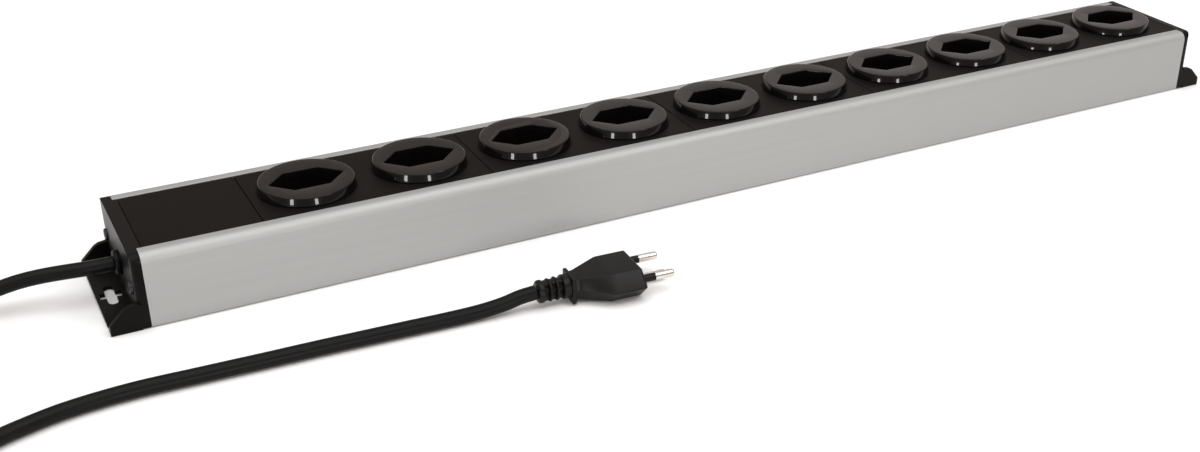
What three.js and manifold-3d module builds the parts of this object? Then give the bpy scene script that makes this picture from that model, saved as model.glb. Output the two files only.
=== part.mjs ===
// A desk power strip: ten earthed hexagonal three-pin sockets in a row, in an extruded aluminium
// channel closed by snap-in covers and two moulded end caps with screw-down feet, and a mains lead
// with a moulded three-pin plug. Millimetres, +Z up, X along the strip. The origin is on the surface
// that the strip stands on, under the middle of the channel. The lead leaves at the -X end.
import * as THREE from "three";
import { mergeVertices } from "three/addons/utils/BufferGeometryUtils.js";
import Module from "manifold-3d";

// ---- driving dimensions ----
const socketPitch = 57;
const socketCount = 10;
const socketsPerModule = 2;
const gap = 0.3; // clearance between neighbouring pieces
const floorGap = 0.1; // under what lies on the surface
const overlap = 1; // how far solids that are joined run into each other
const past = 1; // how far a cutting solid runs past what it cuts

const channel = {
  length: socketPitch * (socketCount + 1), // one pitch of plain cover, then the sockets
  width: 72,
  height: 36.5,
  cornerRadius: 4.5,
  baseRadius: 0.8,
  wall: 2,
  lip: 8, // outer face to the edge of the covers
  ledge: 3, // how far the seat under the covers reaches in
  ledgeThickness: 1.5,
};
const cover = {
  thickness: 2.5,
  clipInset: 8, // from the ends of the cover to the middle of a clip
  clipLength: 8,
  clipThickness: 1.5,
  clipClearance: 0.4, // to the edge of the ledge
  hookReach: 1.6,
};
const collar = { baseRadius: 24, topRadius: 23.3, height: 4.2, edge: 0.7 };
const recess = { length: 37, flat: 17, width: 21, depth: 12, floor: 3 };
const insertRadius = 21.2;
const pinSpacing = 19;
const earthOffset = 5;
const pinHoleRadius = 2.4;

const cap = { thickness: 4.5, edgeRadius: 3, tongue: 2 };
const foot = {
  reach: 13, // from the face of the cap
  plate: 1.8,
  gusset: 2.5,
  outerHeight: 4.6,
  kneeReach: 5.2,
  kneeHeight: 12.3,
  kneeEase: 1,
  rootHeight: 13.2,
  slitWidth: 3.2,
  slitLength: 4,
  slitInset: 6.2,
};
const crossHole = { long: 19, longWidth: 4.6, arms: 9.8, armWidth: 5.2, inset: 6.4 };
const capScrew = {
  inset: 6.5,
  height: 18.5,
  headRadius: 3,
  headHeight: 2,
  seatDepth: 1, // in the face of the cap
  shankRadius: 1.3,
  length: 14,
};
const screwChannelRadius = 3.2;

const cord = { radius: 3.5, exitHeight: 17.5 };
const bush = {
  boreRadius: 3.8,
  neckRadius: 5.3,
  flange: 2, // how far it stands out behind the cap, and its thickness
  collarRadius: 5.9,
  collarEdge: 0.6,
  proud: 2.2,
  tail: 12.7, // from the end of the channel inwards
  taper: 0.6, // what the neck loses along the tail
};

const carrier = {
  halfWidth: 22,
  wall: 1.5,
  base: 2,
  wallHeight: 14,
  endGap: 1,
  rib: 2,
  ribTop: 8.7,
  ribPlaces: [-16, -7, 11, 16],
};
const bar = {
  thickness: 1,
  width: 5,
  offset: 16,
  height: 9,
  earthHeight: 4.6,
  endInset: 8,
  tabHalf: 3,
  leafTop: 24,
  leaf: 0.8,
  leafReach: 2.2, // from the middle of a contact to its leaves
};
const terminal = {
  start: 36,
  length: 14,
  height: 12.5,
  holeDepth: 6,
  screwRadius: 1.5,
  screwLength: 5,
  headRadius: 2.6,
  headHeight: 1.6,
};
const clamp = {
  start: 13,
  length: 8,
  halfWidth: 12,
  barThickness: 4,
  tailPast: 2, // how far the lead's sheath runs on behind the clamp
  screwInset: 3.5,
  boreDepth: 8, // below the lead's axis
  screwRadius: 1.2,
  screwLength: 12,
  headRadius: 2.4,
  headHeight: 1.6,
};
const wire = { radius: 1.3, spread: 2.1, earthDrop: 1.9, straight: 2.2 };

const coil = {
  centre: [-442.2, -78],
  middleRadius: 37.5,
  strandStep: 7.1,
  inwardTurns: 2.2,
  lift: 0.8,
  shoulder: 3,
};
const tie = { thickness: 0.5, width: 10, angle: 60, slack: 0.8 }; // slack: room for the ring's curve
const plug = {
  front: [-104.2, -101.8],
  turn: -3, // degrees about +Z from the strip's own direction
  axisHeight: 8,
  bodyLength: 33.5,
  parallel: 16,
  tipHalfWidth: 17,
  flatHalfWidth: 10,
  height: 14,
  edge: 2, // chamfer round the front face
  neckLength: 3,
  neckHalfWidth: 6.5,
  neckFlat: 5,
  neckHeight: 11.5,
};
const boot = {
  length: 15.5,
  drop: 0.4, // below the pins' axis
  radius: 5.5,
  ribs: 4,
  ribShare: 0.55, // of the pitch
  ribHeight: 0.8,
  ribGrowth: 0.15, // from one rib to the next, towards the plug
  flank: 0.3,
};
const pin = {
  radius: 2,
  length: 16.5,
  sleeve: 6.5,
  coreRadius: 1.2,
  earthDrop: 5,
  tipLength: 1,
  tipInset: 0.8,
};

// Proportions of a pan head: of its height, then of its radius.
const panHead = { rimHeight: 0.55, crossDepth: 0.5, crownRadius: 0.72, crossReach: 0.62, crossHalf: 0.14 };

const roundSteps = 24;
const smallSteps = 10;
const boreSteps = 8;
const coilSteps = 28;
const cornerSteps = 3;
const cordStep = 15; // along the lead, from one ring of its tube to the next
const wireStep = 1;

// ---- places worked out from them ----
const leftEnd = -channel.length / 2;
const halfWidth = channel.width / 2;
const coverTop = channel.height - gap;
const coverBottom = coverTop - cover.thickness;
const seatTop = coverBottom - gap;
const lipEdge = halfWidth - channel.lip;
const blankEnd = leftEnd + socketPitch;
const collarTop = channel.height + collar.height;
const recessFloor = collarTop - recess.depth;
const insideFloor = channel.wall + gap;
const capFace = gap + cap.thickness; // outward from the end of the channel
const socketX = (i) => blankEnd + (i + 0.5) * socketPitch;

// ---- materials ----
const finish = (color, roughness, metalness) =>
  new THREE.MeshStandardMaterial({ color, roughness, metalness });
const anodised = () => finish(0xb9b9b6, 0.38, 0.9);
const satinBlack = () => finish(0x1b1a19, 0.5, 0);
const glossBlack = () => finish(0x0e0e0e, 0.15, 0);
const capBlack = () => finish(0x141414, 0.35, 0);
const screwBlack = () => finish(0x222222, 0.3, 0.6);
const cordBlack = () => finish(0x151515, 0.45, 0);
const brass = () => finish(0xc9a550, 0.35, 0.9);
const nickel = () => finish(0xc8c4bd, 0.25, 1);
const zinc = () => finish(0xa9a9a9, 0.3, 1);
const insulator = () => finish(0xd9d6cc, 0.6, 0);

// ---- geometry helpers ----
const wasm = await Module();
wasm.setup();

function solid(geometry) {
  const bare = geometry.index ? geometry.toNonIndexed() : geometry.clone();
  bare.deleteAttribute("normal");
  bare.deleteAttribute("uv");
  const merged = mergeVertices(bare, 1e-4);
  return new wasm.Manifold(
    new wasm.Mesh({
      numProp: 3,
      vertProperties: merged.attributes.position.array,
      triVerts: new Uint32Array(merged.index.array),
    }),
  );
}

function geometryOf(made) {
  const { vertProperties, triVerts, numProp } = made.getMesh();
  const positions = new Float32Array((vertProperties.length / numProp) * 3);
  for (let i = 0; i < positions.length / 3; i++) {
    positions.set(vertProperties.subarray(i * numProp, i * numProp + 3), i * 3);
  }
  const geometry = new THREE.BufferGeometry();
  geometry.setAttribute("position", new THREE.BufferAttribute(positions, 3));
  geometry.setIndex(new THREE.BufferAttribute(triVerts, 1));
  geometry.computeVertexNormals();
  return geometry;
}

const join = (...solids) => solids.reduce((all, one) => all.add(one));
const cut = (from, ...tools) => tools.reduce((rest, tool) => rest.subtract(tool), from);

function box(x0, x1, y0, y1, z0, z1) {
  const geometry = new THREE.BoxGeometry(Math.abs(x1 - x0), Math.abs(y1 - y0), Math.abs(z1 - z0));
  return solid(geometry.translate((x0 + x1) / 2, (y0 + y1) / 2, (z0 + z1) / 2));
}

function extrude(shape, depth) {
  return new THREE.ExtrudeGeometry(shape, {
    depth,
    bevelEnabled: false,
    curveSegments: cornerSteps,
  });
}

// A section drawn in (Y, Z), run from x0 to x1.
function alongX(shape, x0, x1) {
  const start = Math.min(x0, x1);
  const frame = new THREE.Matrix4().makeBasis(
    new THREE.Vector3(0, 1, 0),
    new THREE.Vector3(0, 0, 1),
    new THREE.Vector3(1, 0, 0),
  );
  return solid(extrude(shape, Math.abs(x1 - x0)).applyMatrix4(frame).translate(start, 0, 0));
}

// A section drawn in (X, Z), run from y0 to y1.
function alongY(shape, y0, y1) {
  const frame = new THREE.Matrix4().makeBasis(
    new THREE.Vector3(1, 0, 0),
    new THREE.Vector3(0, 0, 1),
    new THREE.Vector3(0, -1, 0),
  );
  return solid(extrude(shape, Math.abs(y1 - y0)).applyMatrix4(frame).translate(0, Math.max(y0, y1), 0));
}

// A section drawn in (X, Y), run from z0 to z1.
const alongZ = (shape, z0, z1) => solid(extrude(shape, z1 - z0).translate(0, 0, z0));

// A turned piece about +Z. The profile's radius and height pairs run from the axis at the bottom to
// the axis at the top, or, for a piece with a bore, close on themselves.
function turned(profile, steps = roundSteps) {
  const points = profile.map(([r, z]) => new THREE.Vector2(r, z));
  return new THREE.LatheGeometry(points, steps).rotateX(Math.PI / 2);
}

function rod(radius, z0, z1, steps = roundSteps) {
  return turned([[0, z0], [radius, z0], [radius, z1], [0, z1]], steps);
}

const polygon = (points) => new THREE.Shape(points.map(([u, v]) => new THREE.Vector2(u, v)));

function slot(u, v, length, width, turn) {
  const reach = (length - width) / 2;
  const du = reach * Math.cos(turn);
  const dv = reach * Math.sin(turn);
  const shape = new THREE.Shape();
  shape.absarc(u + du, v + dv, width / 2, turn - Math.PI / 2, turn + Math.PI / 2, false);
  shape.absarc(u - du, v - dv, width / 2, turn + Math.PI / 2, turn + (3 * Math.PI) / 2, false);
  shape.closePath();
  return shape;
}

function mesh(name, shape, material) {
  const geometry = shape.isBufferGeometry ? shape : geometryOf(shape);
  const made = new THREE.Mesh(geometry, material);
  made.name = name;
  return made;
}

// ---- the channel ----
function outerOutline() {
  const { height, cornerRadius: r, baseRadius: b } = channel;
  const shape = new THREE.Shape();
  shape.moveTo(-halfWidth + b, 0);
  shape.absarc(halfWidth - b, b, b, -Math.PI / 2, 0, false);
  shape.absarc(halfWidth - r, height - r, r, 0, Math.PI / 2, false);
  return shape;
}

function channelSection() {
  const { height, cornerRadius: r, baseRadius: b, wall, ledge, ledgeThickness } = channel;
  const inner = halfWidth - wall;
  const ledgeEdge = lipEdge - ledge;
  const ledgeUnder = seatTop - ledgeThickness;
  const screwY = halfWidth - capScrew.inset;
  const screwZ = capScrew.height;
  const c = screwChannelRadius;
  const shape = outerOutline();
  shape.lineTo(lipEdge, height);
  shape.lineTo(lipEdge, seatTop);
  shape.lineTo(ledgeEdge, seatTop);
  shape.lineTo(ledgeEdge, ledgeUnder);
  shape.lineTo(inner, ledgeUnder);
  shape.lineTo(inner, screwZ + c);
  shape.absarc(screwY, screwZ, c, Math.PI / 2, (3 * Math.PI) / 2, false);
  shape.lineTo(inner, screwZ - c);
  shape.lineTo(inner, wall);
  shape.lineTo(-inner, wall);
  shape.lineTo(-inner, screwZ - c);
  shape.absarc(-screwY, screwZ, c, -Math.PI / 2, Math.PI / 2, false);
  shape.lineTo(-inner, screwZ + c);
  shape.lineTo(-inner, ledgeUnder);
  shape.lineTo(-ledgeEdge, ledgeUnder);
  shape.lineTo(-ledgeEdge, seatTop);
  shape.lineTo(-lipEdge, seatTop);
  shape.lineTo(-lipEdge, height);
  shape.absarc(-halfWidth + r, height - r, r, Math.PI / 2, Math.PI, false);
  shape.absarc(-halfWidth + b, b, b, Math.PI, (3 * Math.PI) / 2, false);
  for (const side of [-1, 1]) {
    const hole = new THREE.Path();
    hole.absarc(side * screwY, screwZ, capScrew.shankRadius + gap, 0, 2 * Math.PI, true);
    shape.holes.push(hole);
  }
  return shape;
}

function housingProfile() {
  return mesh("housing_profile", alongX(channelSection(), leftEnd, -leftEnd), anodised());
}

// ---- covers and sockets ----
function coverClip(x, side) {
  const face = lipEdge - channel.ledge - cover.clipClearance;
  const under = seatTop - channel.ledgeThickness - gap;
  const clipBottom = under - cover.clipThickness;
  const y0 = side * (face - cover.clipThickness);
  const half = cover.clipLength / 2;
  return join(
    box(x - half, x + half, y0, side * face, clipBottom, coverBottom + overlap),
    box(x - half, x + half, y0, side * (face + cover.hookReach), clipBottom, under),
  );
}

// A cover from x0 to x1, with a pair of clips near each end and at the other places given.
function coverPlate(x0, x1, between = []) {
  const edge = lipEdge - gap;
  const plate = box(x0, x1, -edge, edge, coverBottom, coverTop);
  const clipPlaces = [x0 + cover.clipInset, ...between, x1 - cover.clipInset];
  const clips = clipPlaces.flatMap((x) => [coverClip(x, -1), coverClip(x, 1)]);
  return join(plate, ...clips);
}

function blankCover() {
  const x0 = leftEnd + cap.tongue + gap;
  const x1 = blankEnd - gap / 2;
  return mesh("blank_cover", coverPlate(x0, x1), satinBlack());
}

function moduleCover(i) {
  const first = socketX(i * socketsPerModule);
  const x0 = first - socketPitch / 2 + gap / 2;
  const last = i === socketCount / socketsPerModule - 1;
  const x1 = first + socketPitch * 1.5 - (last ? cap.tongue + gap : gap / 2);
  const middle = first + socketPitch / 2;
  const holes = [first, first + socketPitch].map((x) =>
    solid(rod(insertRadius + gap, coverBottom - past, coverTop + past).translate(x, 0, 0)),
  );
  const made = cut(coverPlate(x0, x1, [middle]), ...holes);
  return mesh(`module_cover_${i + 1}`, made, satinBlack());
}

function recessOutline(x) {
  const tip = recess.length / 2;
  const flat = recess.flat / 2;
  const side = recess.width / 2;
  return polygon([
    [x - tip, 0],
    [x - flat, -side],
    [x + flat, -side],
    [x + tip, 0],
    [x + flat, side],
    [x - flat, side],
  ]);
}

function socketInsert(i) {
  const x = socketX(i);
  const bottom = recessFloor - recess.floor;
  const body = turned([
    [0, bottom],
    [insertRadius, bottom],
    [insertRadius, channel.height],
    [collar.baseRadius, channel.height],
    [collar.topRadius, collarTop - collar.edge],
    [collar.topRadius - collar.edge, collarTop],
    [0, collarTop],
  ]).translate(x, 0, 0);
  const hole = (dx, dy) =>
    solid(rod(pinHoleRadius, bottom - past, recessFloor + past, boreSteps).translate(x + dx, dy, 0));
  const made = cut(
    solid(body),
    alongZ(recessOutline(x), recessFloor, collarTop + past),
    hole(-pinSpacing / 2, 0),
    hole(pinSpacing / 2, 0),
    hole(0, earthOffset),
  );
  return mesh(`socket_insert_${String(i + 1).padStart(2, "0")}`, made, glossBlack());
}

// ---- end caps and their feet ----
function capPlate(side) {
  const end = side * -leftEnd;
  const at = (d) => end + side * d;
  const body = outerOutline();
  const { height, cornerRadius: r, baseRadius: b } = channel;
  body.absarc(-halfWidth + r, height - r, r, Math.PI / 2, Math.PI, false);
  body.absarc(-halfWidth + b, b, b, Math.PI, (3 * Math.PI) / 2, false);
  const whole = alongX(body, at(gap), at(capFace));
  const e = cap.edgeRadius;
  const plan = polygon([[at(gap), -halfWidth], [at(gap), halfWidth]]);
  for (let step = 0; step <= cornerSteps; step++) {
    const a = (step / cornerSteps) * (Math.PI / 2);
    plan.lineTo(at(capFace - e + e * Math.sin(a)), halfWidth - e + e * Math.cos(a));
  }
  for (let step = cornerSteps; step >= 0; step--) {
    const a = (step / cornerSteps) * (Math.PI / 2);
    plan.lineTo(at(capFace - e + e * Math.sin(a)), -halfWidth + e - e * Math.cos(a));
  }
  const lower = whole.intersect(box(at(0), at(capFace + past), -halfWidth, halfWidth, 0, foot.kneeHeight));
  const upper = whole.intersect(alongZ(plan, foot.kneeHeight - overlap, height + past));
  return join(lower, upper);
}

function footShape(side) {
  const end = side * -leftEnd;
  const at = (d) => end + side * d;
  const root = capFace - overlap;
  const outer = capFace + foot.reach;
  const knee = capFace + foot.kneeReach;
  const gussetOutline = polygon([
    [at(root), 0],
    [at(outer), 0],
    [at(outer), foot.outerHeight],
    [at(knee + foot.kneeEase), foot.kneeHeight - foot.kneeEase],
    [at(knee - foot.kneeEase), foot.kneeHeight],
    [at(root), foot.rootHeight],
  ]);
  const plate = box(at(root), at(outer), -halfWidth, halfWidth, 0, foot.plate);
  const gussets = [-1, 1].map((s) => alongY(gussetOutline, s * (halfWidth - foot.gusset), s * halfWidth));
  const holeX = at(capFace + crossHole.inset);
  const armX = crossHole.arms / 2;
  const armY = crossHole.armWidth / 2;
  const through = (shape) => alongZ(shape, -past, foot.plate + past);
  const slits = [-1, 1].map((s) => {
    const y0 = s * (halfWidth - foot.slitInset);
    const y1 = y0 - s * foot.slitWidth;
    return box(at(outer - foot.slitLength), at(outer + past), y0, y1, -past, foot.plate + past);
  });
  return cut(
    join(plate, ...gussets),
    through(slot(holeX, 0, crossHole.long, crossHole.longWidth, Math.PI / 2)),
    box(holeX - armX, holeX + armX, -armY, armY, -past, foot.plate + past),
    ...slits,
  );
}

// A rod along +X, used for everything that passes through an end cap.
function rodX(radius, x0, x1, y, z, steps = smallSteps) {
  const made = rod(radius, Math.min(x0, x1), Math.max(x0, x1), steps);
  return solid(made.rotateY(Math.PI / 2).translate(0, y, z));
}

function endCap(side) {
  const end = side * -leftEnd;
  const at = (d) => end + side * d;
  const edge = lipEdge - gap;
  const tongue = box(at(-cap.tongue), at(gap + overlap), -edge, edge, coverBottom, coverTop);
  const screwHoles = [-1, 1].flatMap((s) => {
    const y = s * (halfWidth - capScrew.inset);
    const seat = capFace - capScrew.seatDepth;
    return [
      rodX(capScrew.shankRadius + gap, at(-past), at(capFace), y, capScrew.height),
      rodX(capScrew.headRadius + gap, at(seat), at(capFace + past), y, capScrew.height),
    ];
  });
  const body = cut(join(capPlate(side), footShape(side), tongue), ...screwHoles);
  if (side > 0) {
    return mesh("end_cap_right", body, capBlack());
  }
  const cordHole = rodX(bush.neckRadius + gap, at(-past), at(capFace + past), 0, cord.exitHeight, roundSteps);
  return mesh("end_cap_left", cut(body, cordHole), capBlack());
}

// A pan-head screw about +Z: the head's underside at z = 0, the shank below it.
function panScrew(headRadius, headHeight, shankRadius, shankLength) {
  const body = turned(
    [
      [0, -shankLength],
      [shankRadius, -shankLength],
      [shankRadius, 0],
      [headRadius, 0],
      [headRadius, headHeight * panHead.rimHeight],
      [headRadius * panHead.crownRadius, headHeight],
      [0, headHeight],
    ],
    smallSteps,
  );
  const reach = headRadius * panHead.crossReach;
  const half = headRadius * panHead.crossHalf;
  const depth = headHeight * panHead.crossDepth;
  return cut(
    solid(body),
    box(-reach, reach, -half, half, depth, headHeight + past),
    box(-half, half, -reach, reach, depth, headHeight + past),
  );
}

function capScrewMesh(side, s) {
  const { headRadius, headHeight, shankRadius, length } = capScrew;
  const geometry = geometryOf(panScrew(headRadius, headHeight, shankRadius, length));
  geometry.rotateY((side * Math.PI) / 2);
  const x = side * (-leftEnd + capFace - capScrew.seatDepth + gap);
  geometry.translate(x, s * (halfWidth - capScrew.inset), capScrew.height);
  const name = `cap_screw_${side < 0 ? "left" : "right"}_${s < 0 ? "front" : "back"}`;
  return mesh(name, geometry, screwBlack());
}

// ---- inside the channel ----
function contactCarrier(i) {
  const { halfWidth: w, wall, base, wallHeight, endGap, rib, ribTop, ribPlaces } = carrier;
  const start = socketX(i * socketsPerModule) - socketPitch / 2;
  const x0 = start + endGap;
  const x1 = start + socketPitch * socketsPerModule - endGap;
  const section = [
    box(x0, x1, -w, w, insideFloor, insideFloor + base),
    box(x0, x1, -w, wall - w, insideFloor, wallHeight),
    box(x0, x1, w - wall, w, insideFloor, wallHeight),
    ...ribPlaces.map((y) => box(x0, x1, y - rib / 2, y + rib / 2, insideFloor, ribTop)),
  ];
  return mesh(`contact_carrier_${i + 1}`, join(...section), insulator());
}

// A strip along the channel with a tab and two upright spring leaves under every socket.
function busBar(name, stripY, stripZ, contactDx, contactY) {
  const { tabHalf, leaf, leafReach, leafTop } = bar;
  const start = leftEnd + terminal.start + terminal.length + gap;
  const end = -leftEnd - bar.endInset;
  const top = stripZ + bar.thickness;
  const pieces = [box(start, end, stripY - bar.width / 2, stripY + bar.width / 2, stripZ, top)];
  for (let i = 0; i < socketCount; i++) {
    const x = socketX(i) + contactDx;
    const near = Math.min(stripY, contactY - leafReach - leaf);
    const far = Math.max(stripY, contactY + leafReach + leaf);
    pieces.push(box(x - tabHalf, x + tabHalf, near, far, stripZ, top));
    for (const s of [-1, 1]) {
      const inner = contactY + s * leafReach;
      pieces.push(box(x - tabHalf, x + tabHalf, inner, inner + s * leaf, stripZ, leafTop));
    }
  }
  return mesh(name, join(...pieces), brass());
}

function terminalPlaces() {
  return [
    ["live", -bar.offset],
    ["earth", earthOffset],
    ["neutral", bar.offset],
  ];
}

function terminalBlock() {
  const x0 = leftEnd + terminal.start;
  const x1 = x0 + terminal.length;
  const top = insideFloor + terminal.height;
  const hole = rod(terminal.screwRadius + gap, top - terminal.holeDepth, top + past, boreSteps);
  const holes = terminalPlaces().map(([, y]) => solid(hole.clone().translate((x0 + x1) / 2, y, 0)));
  return mesh(
    "terminal_block",
    cut(box(x0, x1, -carrier.halfWidth, carrier.halfWidth, insideFloor, top), ...holes),
    insulator(),
  );
}

function terminalScrew(label, y) {
  const { start, length, height, headRadius, headHeight, screwRadius, screwLength } = terminal;
  const x = leftEnd + start + length / 2;
  const top = insideFloor + height + gap;
  const geometry = geometryOf(panScrew(headRadius, headHeight, screwRadius, screwLength));
  return mesh(`terminal_screw_${label}`, geometry.translate(x, y, top), zinc());
}

// ---- the lead where the strip holds it ----
function cableBush() {
  const { boreRadius, neckRadius, flange, collarRadius, collarEdge } = bush;
  const inner = -bush.tail;
  const face = capFace + gap;
  const outer = face + bush.proud;
  const profile = [
    [boreRadius, inner],
    [neckRadius - bush.taper, inner],
    [neckRadius, -flange],
    [neckRadius + flange, -flange],
    [neckRadius + flange, 0],
    [neckRadius, 0],
    [neckRadius, face],
    [collarRadius, face],
    [collarRadius, outer - collarEdge],
    [collarRadius - collarEdge, outer],
    [boreRadius, outer],
    [boreRadius, inner],
  ];
  const geometry = turned(profile).rotateY(-Math.PI / 2).translate(leftEnd, 0, cord.exitHeight);
  return mesh("cable_bush", geometry, cordBlack());
}

const tailEnd = leftEnd + clamp.start + clamp.length + clamp.tailPast;

function cordTail() {
  const outer = leftEnd - capFace - gap - bush.proud;
  return mesh("cord_tail", rodX(cord.radius, outer, tailEnd, 0, cord.exitHeight), cordBlack());
}

function cordClamp() {
  const x0 = leftEnd + clamp.start;
  const x1 = x0 + clamp.length;
  const z = cord.exitHeight;
  const w = clamp.halfWidth;
  const groove = rodX(cord.radius + gap, x0 - past, x1 + past, 0, z);
  const screwY = w - clamp.screwInset;
  const screwX = (x0 + x1) / 2;
  const barTop = z + cord.radius + clamp.barThickness;
  const bore = rod(clamp.screwRadius + gap, z - clamp.boreDepth, barTop + past, boreSteps);
  const bores = [-screwY, screwY].map((y) => solid(bore.clone().translate(screwX, y, 0)));
  const base = cut(box(x0, x1, -w, w, insideFloor, z - gap), groove, ...bores);
  const strap = cut(box(x0, x1, -w, w, z + gap, barTop), groove, ...bores);
  const meshes = [mesh("cord_clamp_base", base, insulator()), mesh("cord_clamp_strap", strap, insulator())];
  const screw = panScrew(clamp.headRadius, clamp.headHeight, clamp.screwRadius, clamp.screwLength);
  for (const s of [-1, 1]) {
    const geometry = geometryOf(screw).translate(screwX, s * screwY, barTop + gap);
    meshes.push(mesh(`clamp_screw_${s < 0 ? "front" : "back"}`, geometry, zinc()));
  }
  return meshes;
}

// A round tube along a smooth curve through the points, with a ring of its mesh at every spacing.
function tube(points, radius, spacing, sides) {
  const path = new THREE.CatmullRomCurve3(
    points.map(([x, y, z]) => new THREE.Vector3(x, y, z)),
    false,
    "centripetal",
  );
  const section = new THREE.Shape();
  for (let i = 0; i < sides; i++) {
    const a = (i / sides) * 2 * Math.PI;
    const place = [radius * Math.cos(a), radius * Math.sin(a)];
    if (i === 0) section.moveTo(...place);
    else section.lineTo(...place);
  }
  const steps = Math.ceil(path.getLength() / spacing);
  return new THREE.ExtrudeGeometry(section, { extrudePath: path, steps, bevelEnabled: false });
}

function wires() {
  const start = tailEnd + 2 * gap;
  const end = leftEnd + terminal.start - 2 * gap;
  const colours = { live: 0x6b3f22, neutral: 0x2f5fa8, earth: 0x5f9a35 };
  return terminalPlaces().map(([label, y]) => {
    const drop = label === "earth" ? wire.earthDrop : 0;
    const side = label === "earth" ? 0 : Math.sign(y) * wire.spread;
    const route = [
      [start, side, cord.exitHeight - drop],
      [start + wire.straight, side, cord.exitHeight - drop],
      [end - wire.straight, y, bar.height - drop],
      [end, y, bar.height - drop],
    ];
    const made = tube(route, wire.radius, wireStep, boreSteps);
    return mesh(`wire_${label}`, made, finish(colours[label], 0.4, 0));
  });
}

// ---- the free lead ----
const floorHeight = cord.radius + floorGap;

// From the bush, level at first, then sagging to the surface and round towards the coil.
const leadOut = [
  [-321.1, 0, 17.5],
  [-330, 0.1, 17.5],
  [-338, 0.8, 17.6],
  [-346, 2.4, 17.3],
  [-354, 4.6, 16.4],
  [-363, 7.0, 14.7],
  [-373, 8.6, 12.2],
  [-384, 9.6, 9.3],
  [-396, 9.7, 6.6],
  [-409, 8.4, 4.7],
  [-424, 5.2, 4],
  [-440, -0.4, 3.9],
  [-455, -9, 4],
  [-468, -20.5, 4.2],
  [-478, -34, 4.3],
  [-484.3, -47.2, 4.3],
];

// From the coil back past the front of the strip to the plug.
const leadBack = [
  [-394.2, -104.3, 4],
  [-386.5, -100.9, floorHeight],
  [-378.3, -98, floorHeight],
  [-362, -93.4, floorHeight],
  [-345.5, -91.2, floorHeight],
  [-329, -90.5, floorHeight],
  [-304, -91.6, floorHeight],
  [-278, -92.8, floorHeight],
  [-252, -93.8, floorHeight],
  [-234, -94.8, floorHeight],
  [-216, -95.8, floorHeight],
  [-197, -97, floorHeight],
  [-180, -97.9, 4],
  [-168.5, -98.5, 5.3],
  [-161, -98.8, 6.9],
  [-153.8, -99.2, 7.6],
];

// The section that two layers of strands fill.
function coilSection() {
  const outer = coil.middleRadius + coil.strandStep + cord.radius;
  const inner = outer - coil.strandStep * coil.inwardTurns - 2 * cord.radius;
  return { inner, outer, top: coil.lift + coil.strandStep + 2 * cord.radius };
}

function coilSolid() {
  const { inner, outer, top } = coilSection();
  const { centre, lift, shoulder } = coil;
  const ring = [
    [inner, lift],
    [outer, lift],
    [outer, top - shoulder],
    [outer - shoulder, top],
    [inner + shoulder, top],
    [inner, top - shoulder],
    [inner, lift],
  ];
  return mesh("cord_coil", turned(ring, coilSteps).translate(...centre, 0), cordBlack());
}

function cordTie() {
  const { inner, outer, top } = coilSection();
  const w = tie.width / 2;
  const t = tie.thickness;
  const x0 = inner - gap - tie.slack;
  const x1 = outer + gap;
  const z0 = coil.lift - gap;
  const z1 = top + gap;
  const band = cut(box(x0 - t, x1 + t, -w, w, z0 - t, z1 + t), box(x0, x1, -w - past, w + past, z0, z1));
  const geometry = geometryOf(band).rotateZ(THREE.MathUtils.degToRad(tie.angle));
  return mesh("cord_tie", geometry.translate(...coil.centre, 0), cordBlack());
}

// ---- the plug, drawn along +X with its front face at x = 0 and its pins ahead of it ----
function hexagonRing(x, tip, flat, height, centreZ) {
  const top = centreZ + height / 2;
  const bottom = centreZ - height / 2;
  return [
    [x, -tip, centreZ],
    [x, -flat, bottom],
    [x, flat, bottom],
    [x, tip, centreZ],
    [x, flat, top],
    [x, -flat, top],
  ];
}

// A closed skin over rings of equal count, from the first ring to the last along +X.
function loft(rings) {
  const count = rings[0].length;
  const positions = rings.flat(2);
  const index = [];
  for (let r = 0; r + 1 < rings.length; r++) {
    for (let i = 0; i < count; i++) {
      const a = r * count + i;
      const b = r * count + ((i + 1) % count);
      index.push(a, b, a + count, b, b + count, a + count);
    }
  }
  const last = (rings.length - 1) * count;
  for (let i = 1; i + 1 < count; i++) {
    index.push(0, i + 1, i);
    index.push(last, last + i, last + i + 1);
  }
  const geometry = new THREE.BufferGeometry();
  geometry.setAttribute("position", new THREE.Float32BufferAttribute(positions, 3));
  geometry.setIndex(index);
  return geometry;
}

function plugBody() {
  const { bodyLength, parallel, tipHalfWidth: tip, flatHalfWidth: flat, height, edge } = plug;
  const middle = height / 2 + floorGap;
  const neck = (x) => hexagonRing(x, plug.neckHalfWidth, plug.neckFlat, plug.neckHeight, middle);
  const rings = [
    neck(-bodyLength),
    neck(-bodyLength + plug.neckLength),
    hexagonRing(-parallel, tip, flat, height, middle),
    hexagonRing(-edge, tip, flat, height, middle),
    hexagonRing(0, tip - edge, flat - edge / 2, height - edge, middle),
  ];
  return mesh("plug_body", loft(rings).toNonIndexed(), cordBlack());
}

function plugBoot() {
  const length = boot.length - gap;
  const pitch = length / boot.ribs;
  const profile = [[0, 0]];
  for (let i = 0; i < boot.ribs; i++) {
    const rib = boot.radius + i * boot.ribGrowth;
    const groove = rib - boot.ribHeight;
    const ribEnd = (i + boot.ribShare) * pitch;
    profile.push([rib, i * pitch], [rib, ribEnd], [groove, ribEnd + boot.flank]);
    profile.push([groove, (i + 1) * pitch - boot.flank]);
  }
  profile.push([boot.radius, length], [0, length]);
  const start = -plug.bodyLength - boot.length;
  const geometry = turned(profile, roundSteps / 2).rotateY(Math.PI / 2);
  return mesh("plug_boot", geometry.translate(start, 0, plug.axisHeight - boot.drop), cordBlack());
}

function pinX(profile, y, z) {
  return turned(profile, roundSteps / 2).rotateY(Math.PI / 2).translate(0, y, z);
}

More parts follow.
